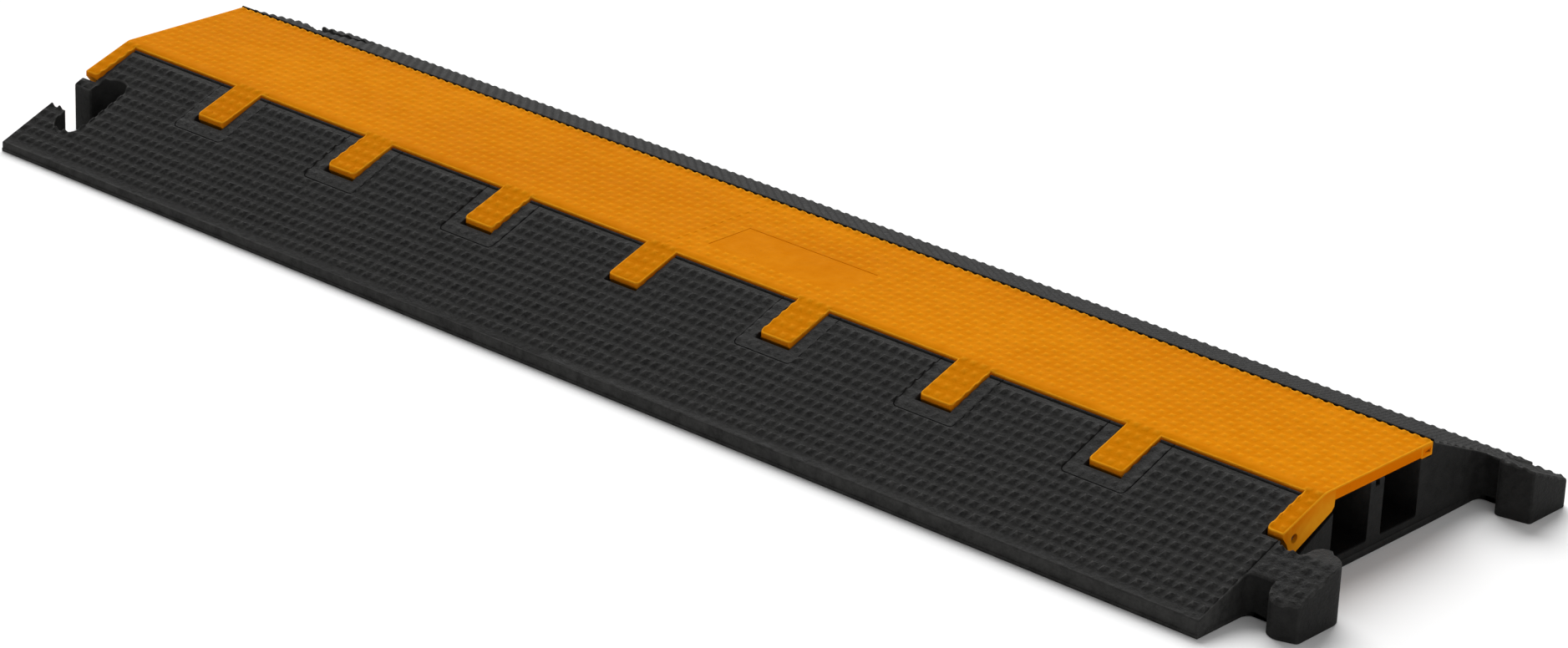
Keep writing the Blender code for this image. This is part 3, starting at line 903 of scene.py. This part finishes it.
class Nodes:
    """A short way to write a Principled material's nodes."""

    def __init__(self, name):
        self.material = bpy.data.materials.new(name)
        self.material.use_nodes = True
        self.tree = self.material.node_tree
        self.shader = self.tree.nodes["Principled BSDF"]
        self.place = self.tree.nodes.new("ShaderNodeTexCoord").outputs["Object"]

    def link(self, out, into):
        self.tree.links.new(out, into)

    def noise(self, scale, detail, roughness, stretch=None):
        node = self.tree.nodes.new("ShaderNodeTexNoise")
        node.inputs["Scale"].default_value = scale
        node.inputs["Detail"].default_value = detail
        node.inputs["Roughness"].default_value = roughness
        place = self.place
        if stretch:
            mapping = self.tree.nodes.new("ShaderNodeMapping")
            mapping.inputs["Scale"].default_value = stretch
            self.link(place, mapping.inputs["Vector"])
            place = mapping.outputs["Vector"]
        self.link(place, node.inputs["Vector"])
        return node.outputs["Fac"]

    def attribute(self, name):
        node = self.tree.nodes.new("ShaderNodeAttribute")
        node.attribute_name = name
        return node.outputs["Fac"]

    def along(self, low, high):
        """0 before the first x and 1 past the second, in metres."""
        node = self.tree.nodes.new("ShaderNodeSeparateXYZ")
        self.link(self.place, node.inputs["Vector"])
        return self.ramp(node.outputs["X"], low, high)

    def level(self, low, high):
        """0 on upright faces and 1 on level ones, by how far their normal points up or down."""
        node = self.tree.nodes.new("ShaderNodeSeparateXYZ")
        coordinates = self.tree.nodes.new("ShaderNodeTexCoord")
        self.link(coordinates.outputs["Normal"], node.inputs["Vector"])
        return self.ramp(self.math("ABSOLUTE", node.outputs["Z"], 0.0), low, high)

    def edges(self):
        """Over 0.5 on outer edges."""
        return self.tree.nodes.new("ShaderNodeNewGeometry").outputs["Pointiness"]

    def ramp(self, value, low, high, to_low=0.0, to_high=1.0):
        """Maps low..high on to to_low..to_high, held at both ends."""
        node = self.tree.nodes.new("ShaderNodeMapRange")
        numbers = {"From Min": low, "From Max": high, "To Min": to_low, "To Max": to_high}
        for name, number in numbers.items():
            node.inputs[name].default_value = number
        self.link(value, node.inputs["Value"])
        return node.outputs["Result"]

    def math(self, operation, first, second):
        node = self.tree.nodes.new("ShaderNodeMath")
        node.operation = operation
        for value, socket in zip((first, second), node.inputs):
            if isinstance(value, float):
                socket.default_value = value
            else:
                self.link(value, socket)
        return node.outputs["Value"]

    def mix(self, share, first, second):
        node = self.tree.nodes.new("ShaderNodeMix")
        node.data_type = "RGBA"
        sockets = {"Factor": share, "A": first, "B": second}
        for name, value in sockets.items():
            kind = "VALUE" if name == "Factor" else "RGBA"
            socket = next(i for i in node.inputs if i.name == name and i.type == kind)
            if isinstance(value, float):
                socket.default_value = value
            elif isinstance(value, tuple):
                socket.default_value = (*value, 1.0)
            else:
                self.link(value, socket)
        return next(o for o in node.outputs if o.type == "RGBA")

    def bump(self, height, distance, strength=1.0, under=None):
        node = self.tree.nodes.new("ShaderNodeBump")
        node.inputs["Strength"].default_value = strength
        node.inputs["Distance"].default_value = distance
        self.link(height, node.inputs["Height"])
        if under is not None:
            self.link(under, node.inputs["Normal"])
        return node.outputs["Normal"]


def rubber():
    """Matt black rubber, mottled, with painted light and shade: the tread's valleys and stud tips lighter,
    grooves, channels and slots nearly black, and edges lighter, partly rubbed wear and partly painted
    highlight.
    """
    n = Nodes("black_rubber")
    mottle = n.ramp(n.noise(140, 6, 0.65), 0.32, 0.68)
    cloud = n.ramp(n.noise(9, 3, 0.5), 0.35, 0.65)
    relief = n.attribute("relief")
    colour = n.mix(mottle, (0.0036, 0.0036, 0.0037), (0.0105, 0.0103, 0.0100))
    colour = n.mix(n.ramp(cloud, 0.0, 1.0, 0.0, 0.3), colour, (0.016, 0.0158, 0.0154))
    # Painted light and shade on the tread: the valleys, and more faintly the stud tips, are painted lighter
    # than the studs' dark flanks.
    painted_valley_light = n.math("MULTIPLY", n.ramp(relief, 0.02, 0.35, 0.8, 0.0), n.ramp(mottle, 0.0, 1.0, 0.5, 1.0))
    colour = n.mix(painted_valley_light, colour, (0.0305, 0.0301, 0.0290))
    colour = n.mix(n.ramp(relief, 0.8, 1.0, 0.0, 0.6), colour, (0.024, 0.0237, 0.0230))
    # Edges painted lighter: partly rubbed wear, partly painted highlight.
    rubbed_and_highlit = n.math("MAXIMUM", n.ramp(n.edges(), 0.51, 0.57), n.attribute("wear_and_highlight"))
    rubbed_and_highlit = n.math("MULTIPLY", rubbed_and_highlit, n.ramp(mottle, 0.1, 0.9, 0.25, 0.8))
    colour = n.mix(rubbed_and_highlit, colour, (0.060, 0.0592, 0.0570))
    speck = n.ramp(n.noise(900, 2, 0.5), 0.72, 0.8, 0.0, 0.5)
    colour = n.mix(speck, colour, (0.05, 0.0488, 0.0465))
    # Painted shade: grooves, channels, slots and the strip behind the lid's far edge are painted nearly
    # black.
    colour = n.mix(n.ramp(relief, DARK_RELIEF, 0.0, 0.9, 0.0), colour, (0.0022, 0.0022, 0.0022))
    n.link(colour, n.shader.inputs["Base Color"])
    n.link(n.ramp(mottle, 0.0, 1.0, 0.62, 0.82), n.shader.inputs["Roughness"])
    n.shader.inputs["IOR"].default_value = 1.17
    lug_grain = n.ramp(n.along(*LUG_GRAIN), 0.0, 1.0, 1.0, 1.7)
    coarse = n.math("MULTIPLY", n.noise(230, 5, 0.65), lug_grain)
    grain = n.bump(n.noise(1300, 4, 0.6), 0.0002, 1.0)
    n.link(n.bump(coarse, 0.0011, 1.0, grain), n.shader.inputs["Normal"])
    return n.material


def orange_plastic():
    """Satin orange plastic: faint flow marks and scuffs, edges painted brighter (partly rubbed wear, partly
    painted highlight), and upright faces painted a redder orange as painted shade.
    """
    n = Nodes("orange_plastic")
    flow = n.ramp(n.noise(7, 4, 0.55, (1.0, 2.2, 1.0)), 0.35, 0.65)
    mottle = n.ramp(n.noise(90, 5, 0.6), 0.3, 0.7)
    colour = n.mix(flow, (0.57, 0.176, 0.0002), (0.64, 0.212, 0.0004))
    colour = n.mix(n.ramp(mottle, 0.0, 1.0, 0.0, 0.4), colour, (0.50, 0.132, 0.0002))
    # Painted shade: upright faces are painted a deeper, redder orange than level ones.
    colour = n.mix(n.ramp(n.level(0.3, 0.85), 0.0, 1.0, 0.7, 0.0), colour, (0.80, 0.165, 0.0002))
    # Edges painted brighter: partly rubbed wear, partly painted highlight.
    rubbed_and_highlit = n.math("MAXIMUM", n.ramp(n.edges(), 0.51, 0.58), n.attribute("wear_and_highlight"))
    rubbed_and_highlit = n.math("MULTIPLY", rubbed_and_highlit, n.ramp(mottle, 0.0, 1.0, 0.45, 0.9))
    colour = n.mix(rubbed_and_highlit, colour, (0.84, 0.36, 0.015))
    patches = n.ramp(n.noise(16, 2, 0.5), 0.48, 0.62, 0.0, 0.6)
    scuff = n.math("MULTIPLY", n.ramp(n.noise(420, 3, 0.6), 0.66, 0.74), patches)
    colour = n.mix(scuff, colour, (0.36, 0.09, 0.0005))
    n.link(colour, n.shader.inputs["Base Color"])
    n.link(n.ramp(mottle, 0.0, 1.0, 0.40, 0.56), n.shader.inputs["Roughness"])
    n.shader.inputs["IOR"].default_value = 1.02
    peel = n.bump(n.noise(700, 3, 0.5), 0.00014, 0.7)
    n.link(n.bump(n.noise(120, 4, 0.5), 0.0008, 0.7, peel), n.shader.inputs["Normal"])
    return n.material


def drawn_steel():
    """Dull drawn steel, with fine lines along the rod and a few darker stains."""
    n = Nodes("drawn_steel")
    lines = n.noise(900, 4, 0.6, (0.02, 1.0, 1.0))
    stain = n.ramp(n.noise(45, 4, 0.6), 0.52, 0.7)
    colour = n.mix(n.ramp(lines, 0.3, 0.7), (0.09, 0.09, 0.095), (0.17, 0.17, 0.175))
    colour = n.mix(n.ramp(stain, 0.0, 1.0, 0.0, 0.6), colour, (0.10, 0.085, 0.07))
    n.link(colour, n.shader.inputs["Base Color"])
    n.shader.inputs["Metallic"].default_value = 0.6
    n.link(n.ramp(stain, 0.0, 1.0, 0.38, 0.6), n.shader.inputs["Roughness"])
    n.link(n.bump(lines, 0.0001, 0.5), n.shader.inputs["Normal"])
    return n.material


def pale_floor():
    """Near-white paper, very faintly uneven."""
    n = Nodes("pale_floor")
    colour = n.mix(n.ramp(n.noise(3, 3, 0.5), 0.3, 0.7), (0.91, 0.91, 0.91), (0.93, 0.93, 0.93))
    n.link(colour, n.shader.inputs["Base Color"])
    n.shader.inputs["Roughness"].default_value = 0.9
    n.shader.inputs["Specular IOR Level"].default_value = 0.1
    return n.material


base.data.materials.append(rubber())
lid.data.materials.append(orange_plastic())
steel = drawn_steel()
for slot in bpy.data.objects["hinge_rod"].material_slots:
    slot.material = steel

# ---- floor, light and camera ----

floor_mesh = bpy.data.meshes.new("floor")
corners = [(x * FLOOR_REACH, y * FLOOR_REACH, 0) for x, y in ((-1, -1), (1, -1), (1, 1), (-1, 1))]
floor_mesh.from_pydata(corners, [], [(0, 1, 2, 3)])
floor = bpy.data.objects.new("floor", floor_mesh)
bpy.context.scene.collection.objects.link(floor)
floor.location.z = cad_low.z - FLOOR_GAP
floor_mesh.materials.append(pale_floor())


def soft_sun(name, direction, strength, angle):
    """A wide, even light that comes from the direction."""
    data = bpy.data.lights.new(name, "SUN")
    data.energy = strength
    data.angle = math.radians(angle)
    light = bpy.data.objects.new(name, data)
    bpy.context.scene.collection.objects.link(light)
    light.rotation_mode = "QUATERNION"
    light.rotation_quaternion = Vector(direction).to_track_quat("Z", "Y")


soft_sun("key", (-0.55, 0.52, 0.65), 3.95, 48)
soft_sun("top", (0.05, 0.1, 1.0), 0.3, 110)
soft_sun("fill", (0.85, -0.35, 0.45), 0.5, 70)

world = bpy.data.worlds.new("studio")
world.use_nodes = True
world.node_tree.nodes["Background"].inputs["Color"].default_value = (1, 1, 1, 1)
world.node_tree.nodes["Background"].inputs["Strength"].default_value = 0.18
bpy.context.scene.world = world
bpy.context.scene.view_settings.view_transform = "Standard"

AZIMUTH, ELEVATION, ROLL = 41.027, 22.64, 2.512       # degrees
DISTANCE = 2.969
AIM = Vector((0.0535, 0.0019, 0.0))
LENS = 110.27
SENSOR = 36.0

camera_data = bpy.data.cameras.new("camera")
camera_data.sensor_width = SENSOR
camera_data.lens = LENS
camera = bpy.data.objects.new("camera", camera_data)
bpy.context.scene.collection.objects.link(camera)
a, e = math.radians(AZIMUTH), math.radians(ELEVATION)
back = Vector((math.sin(a) * math.cos(e), -math.cos(a) * math.cos(e), math.sin(e)))
camera.location = AIM + back * DISTANCE
camera.rotation_mode = "QUATERNION"
camera.rotation_quaternion = (-back).to_track_quat("-Z", "Y")
camera.rotation_quaternion = camera.rotation_quaternion @ Quaternion((0, 0, 1), math.radians(ROLL))
bpy.context.scene.camera = camera
